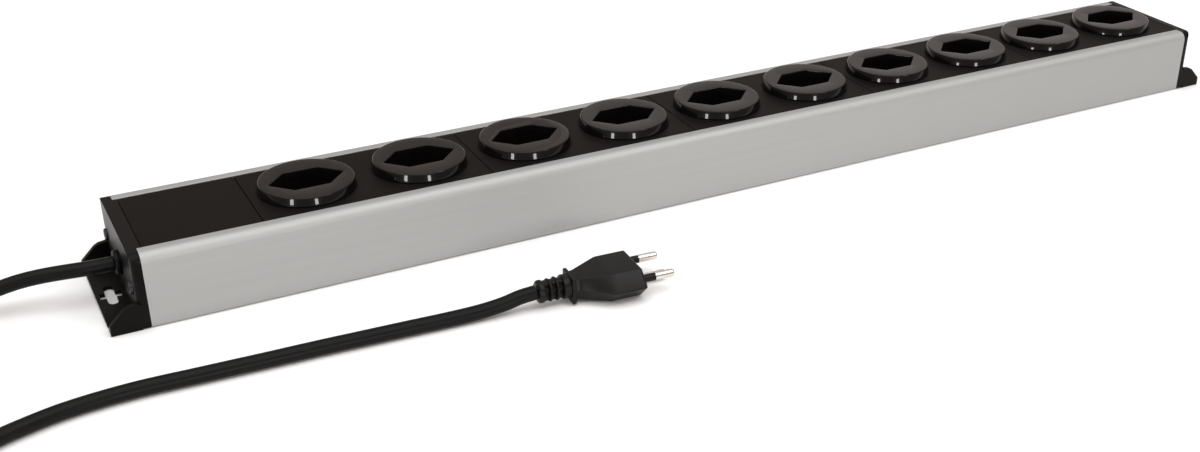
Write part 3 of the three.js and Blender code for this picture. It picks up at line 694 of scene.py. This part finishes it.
# ---- the socket inserts ----
RECESS_TIP = 18.5 * MM
RECESS_FLAT = 8.5 * MM
RECESS_SIDE = 10.5 * MM
RECESS_CORNER = 0.7 * MM
RECESS_DEPTH = 12 * MM
RIM_FILLET = 0.6 * MM
FLOOR_FILLET = 0.4 * MM
COLLAR_FILLET = 0.7 * MM
COLLAR_SLOPE = 1.2 * MM  # what its radius loses up its side
COLLAR_FOOT = 0.3 * MM
COLLAR_FACE = 4 * MM  # how far in from the edge its turned part ends
INSERT_RADIUS = 21.2 * MM
EARTH_OFFSET = 5 * MM
PIN_HOLE = 2.4 * MM
HOLE_EDGE = 0.35 * MM
ROUND = 96


def hexagon(grow):
    """The recess outline, moved out by grow, with corners that stay concentric."""
    slant = math.hypot(RECESS_SIDE, RECESS_TIP - RECESS_FLAT)
    normal = (RECESS_SIDE / slant, (RECESS_TIP - RECESS_FLAT) / slant)
    reach = normal[0] * RECESS_TIP + grow
    side = RECESS_SIDE + grow
    tip = reach / normal[0]
    flat = (reach - normal[1] * side) / normal[0]
    corners = [(tip, 0), (flat, side), (-flat, side), (-tip, 0), (-flat, -side), (flat, -side)]
    return rounded(corners, RECESS_CORNER + grow, steps=6)


def insert_mesh():
    low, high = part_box("socket_insert_01")
    channel_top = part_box("housing_profile")[1].z
    radius = (high.x - low.x) / 2
    top = high.z
    floor = top - RECESS_DEPTH
    skin = Skin()
    profile = rounded(
        [(INSERT_RADIUS, low.z), (INSERT_RADIUS, channel_top), (radius, channel_top),
         (radius - COLLAR_SLOPE, top), (radius - COLLAR_FACE, top)],
        (0, 0, COLLAR_FOOT, COLLAR_FILLET, 0),
        steps=8,
        closed=False,
    )
    outer = turned_rings(skin, profile, ROUND)
    skin.skin(outer)
    inner = []
    for k in range(6):
        a = math.radians(90 + 90 * k / 5)
        grow = RIM_FILLET * (1 + math.cos(a))
        inner.append(skin.ring((*p, top - RIM_FILLET * (1 - math.sin(a))) for p in hexagon(grow)))
    for k in range(5):
        a = math.radians(90 * k / 4)
        grow = -FLOOR_FILLET * (1 - math.cos(a))
        inner.append(skin.ring((*p, floor + FLOOR_FILLET * (1 - math.sin(a))) for p in hexagon(grow)))
    skin.skin(inner)
    skin.cover(outer[-1], inner[0])
    places = [(-pin_spacing / 2, 0), (pin_spacing / 2, 0), (0, EARTH_OFFSET)]
    mouths, ends = [], []
    for place in places:
        rings = [
            skin.ring((*p, z) for p in circle(place, r, 32))
            for r, z in ((PIN_HOLE + HOLE_EDGE, floor), (PIN_HOLE, floor - HOLE_EDGE), (PIN_HOLE, low.z))
        ]
        skin.skin(rings)
        mouths.append(rings[0])
        ends.append(rings[-1])
    skin.cover(inner[-1], *mouths)
    skin.cover(outer[0], *ends)
    return skin.finish("socket_face")


def make_inserts():
    data = insert_mesh()
    for node in sorted(n for n in cad if n.startswith("socket_insert_")):
        low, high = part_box(node)
        matrix = Matrix.Translation(((low.x + high.x) / 2, 0, 0))
        place_piece(node.replace("insert", "face"), data, socket_black, (node,), matrix)


make_inserts()


# ---- the screws through the end caps ----
SCREW_HEAD = 2 * MM
SCREW_RADIUS = 3 * MM
SCREW_FLAT = 2.0 * MM  # the radius of the top's flat part
SCREW_CROWN = 0.95 * MM
SCREW_RIM = 0.2 * MM
SHANK_RADIUS = 1.3 * MM
SHANK_LENGTH = 14 * MM
CROSS_ARM = 1.65 * MM
CROSS_HALF = 0.36 * MM
CROSS_BASE = 0.9 * MM  # above the head's underside
CROSS_TAPER = 0.8


def cap_screw_mesh():
    """A pan-head screw about +Z, its head's underside at z = 0, with a cross recess."""
    skin = Skin()
    profile = rounded(
        [(SHANK_RADIUS, -SHANK_LENGTH), (SHANK_RADIUS, 0), (SCREW_RADIUS, 0), (SCREW_RADIUS, SCREW_HEAD),
         (SCREW_FLAT, SCREW_HEAD)],
        (0, 0, SCREW_RIM, SCREW_CROWN, 0),
        steps=8,
        closed=False,
    )
    rings = turned_rings(skin, profile, 48)
    skin.skin(rings)
    skin.cover(rings[0])
    arm, half = CROSS_ARM, CROSS_HALF
    plus = []
    for k in range(4):
        turn = Matrix.Rotation(math.radians(90 * k), 2)
        plus += [turn @ Vector(p) for p in ((half, half), (half, arm), (-half, arm))]
    mouth = skin.ring((*p, SCREW_HEAD) for p in plus)
    base = skin.ring((*(p * CROSS_TAPER), CROSS_BASE) for p in plus)
    skin.cover(rings[-1], mouth)
    skin.strip(mouth, base)
    skin.cover(base)
    return skin.finish("cap_screw")


def make_cap_screws():
    data = cap_screw_mesh()
    for side, label in ((-1, "left"), (1, "right")):
        for place in ("front", "back"):
            node = f"cap_screw_{label}_{place}"
            low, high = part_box(node)
            outer = high.x if side > 0 else low.x
            centre = (low + high) / 2
            matrix = Matrix.Translation((outer - side * SCREW_HEAD, centre.y, centre.z))
            matrix @= Matrix.Rotation(side * math.pi / 2, 4, "Y")
            place_piece(f"{node}_head", data, screw_black, (node,), matrix)


make_cap_screws()


# ---- the bush that the lead leaves through ----
BUSH_PROUD = 2.2 * MM
BUSH_BORE = 3.65 * MM
BUSH_NECK = 5.3 * MM
BUSH_TAPER = 0.6 * MM  # what the neck loses along its length
BUSH_COLLAR = 5.9 * MM
BUSH_TAIL_EDGE = 0.3 * MM
BUSH_COLLAR_EDGES = (0.3 * MM, 1.0 * MM)
BUSH_BORE_EDGE = 0.5 * MM


def make_bush():
    low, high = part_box("cable_bush")
    centre = (low + high) / 2
    skin = Skin()
    cap_outside = low.x + BUSH_PROUD
    profile = rounded(
        [(BUSH_BORE, high.x), (BUSH_NECK - BUSH_TAPER, high.x), (BUSH_NECK, cap_outside),
         (BUSH_COLLAR, cap_outside), (BUSH_COLLAR, low.x), (BUSH_BORE, low.x)],
        (0, BUSH_TAIL_EDGE, 0, *BUSH_COLLAR_EDGES, BUSH_BORE_EDGE),
        steps=6,
    )
    rings = []
    for p in profile:
        around = circle((0, 0), p.x, 64)
        rings.append(skin.ring((p.y, centre.y + q.x, centre.z + q.y) for q in around))
    skin.skin([*rings, rings[0]])
    place_piece("lead_bush", skin.finish("lead_bush"), cord_black, ("cable_bush",))


make_bush()


# ---- the CAD pieces that stay, with softened edges ----
SOFT_EDGE = 0.3 * MM
CAP_EDGE = 0.4 * MM
SMALL_EDGE = 0.2 * MM
FINE_EDGE = 0.1 * MM
WELD_DISTANCE = 0.005 * MM
BEVEL_ANGLE = 35


def dress(node, material, edge=SOFT_EDGE, segments=2):
    kept = cad[node]
    kept.data.materials.clear()
    kept.data.materials.append(material)
    weld = kept.modifiers.new("weld", "WELD")
    weld.merge_threshold = WELD_DISTANCE
    bevel = kept.modifiers.new("bevel", "BEVEL")
    bevel.width = edge
    bevel.segments = segments
    bevel.limit_method = "ANGLE"
    bevel.angle_limit = math.radians(BEVEL_ANGLE)
    bevel.use_clamp_overlap = True
    kept.modifiers.new("normals", "WEIGHTED_NORMAL")


def dress_kept_nodes():
    dress("blank_cover", cover_black)
    for node in cad:
        if node.startswith("module_cover_"):
            dress(node, cover_black)
        elif node.startswith("contact_carrier_"):
            dress(node, insulator, SMALL_EDGE)
        elif node.endswith("_bar"):
            dress(node, brass, FINE_EDGE)
        elif node.startswith(("terminal_screw_", "clamp_screw_")):
            dress(node, zinc, FINE_EDGE)
    for side in ("left", "right"):
        dress(f"end_cap_{side}", cap_black, CAP_EDGE, 3)
    for node in ("terminal_block", "cord_clamp_base", "cord_clamp_strap"):
        dress(node, insulator)
    dress("cord_tail", cord_black, SMALL_EDGE)
    dress("wire_live", wire_brown, FINE_EDGE)
    dress("wire_neutral", wire_blue, FINE_EDGE)
    dress("wire_earth", wire_green_yellow, FINE_EDGE)


dress_kept_nodes()


# ---- floor and light ----
FLOOR_SIZE = 40
FLOOR_HEIGHT = -0.3 * MM


def make_floor():
    bpy.ops.mesh.primitive_plane_add(size=FLOOR_SIZE, location=(0, 0, FLOOR_HEIGHT))
    floor = bpy.context.object
    floor.name = "floor"
    material = surface("floor", (0.88, 0.88, 0.88), (0.90, 0.90, 0.90), (0.7, 0.8),
                       mottle=4, grain=300, relief=0.02)
    floor.data.materials.append(material)


def area_light(name, azimuth, elevation, distance, size, power, target=(0, 0, 0.02)):
    """A soft light seen from the strip at that azimuth from +Y towards +X, and that elevation."""
    a, e = math.radians(azimuth), math.radians(elevation)
    towards = Vector((math.sin(a) * math.cos(e), math.cos(a) * math.cos(e), math.sin(e)))
    data = bpy.data.lights.new(name, "AREA")
    data.shape = "RECTANGLE"
    data.size, data.size_y = size
    data.energy = power
    light = bpy.data.objects.new(name, data)
    bpy.context.scene.collection.objects.link(light)
    light.location = Vector(target) + towards * distance
    light.rotation_euler = towards.to_track_quat("Z", "Y").to_euler()
    return light


WORLD_SIDES = (0.45, 0.385, 0.35, 1)
WORLD_TOP = (1.05, 1.05, 1.05, 1)
WORLD_RISE = (0.45, 1.0)  # the heights between which the one turns into the other


def make_world():
    """A studio tent that is dim and warm round the sides and bright overhead."""
    world = bpy.data.worlds.new("studio")
    world.use_nodes = True
    tree = world.node_tree
    place = tree.nodes.new("ShaderNodeTexCoord")
    parts = tree.nodes.new("ShaderNodeSeparateXYZ")
    rise = tree.nodes.new("ShaderNodeMapRange")
    rise.inputs["From Min"].default_value, rise.inputs["From Max"].default_value = WORLD_RISE
    mix = tree.nodes.new("ShaderNodeMix")
    mix.data_type = "RGBA"
    mix.inputs["A"].default_value = WORLD_SIDES
    mix.inputs["B"].default_value = WORLD_TOP
    tree.links.new(place.outputs["Generated"], parts.inputs["Vector"])
    tree.links.new(parts.outputs["Z"], rise.inputs["Value"])
    background = tree.nodes["Background"]
    tree.links.new(rise.outputs["Result"], mix.inputs["Factor"])
    tree.links.new(mix.outputs["Result"], background.inputs["Color"])
    bpy.context.scene.world = world


make_floor()
make_world()
area_light("overhead", 215, 76, 3.0, (4.0, 3.0), 66)
area_light("window_left", 235, 6, 2.2, (0.26, 0.34), 9)
area_light("window_right", 183, 6, 2.2, (0.26, 0.34), 9)
area_light("front_right", 140, 50, 2.2, (0.5, 0.3), 7)
area_light("back_right", 52, 20, 2.4, (2.5, 1.5), 2)
bpy.context.scene.view_settings.view_transform = "Standard"
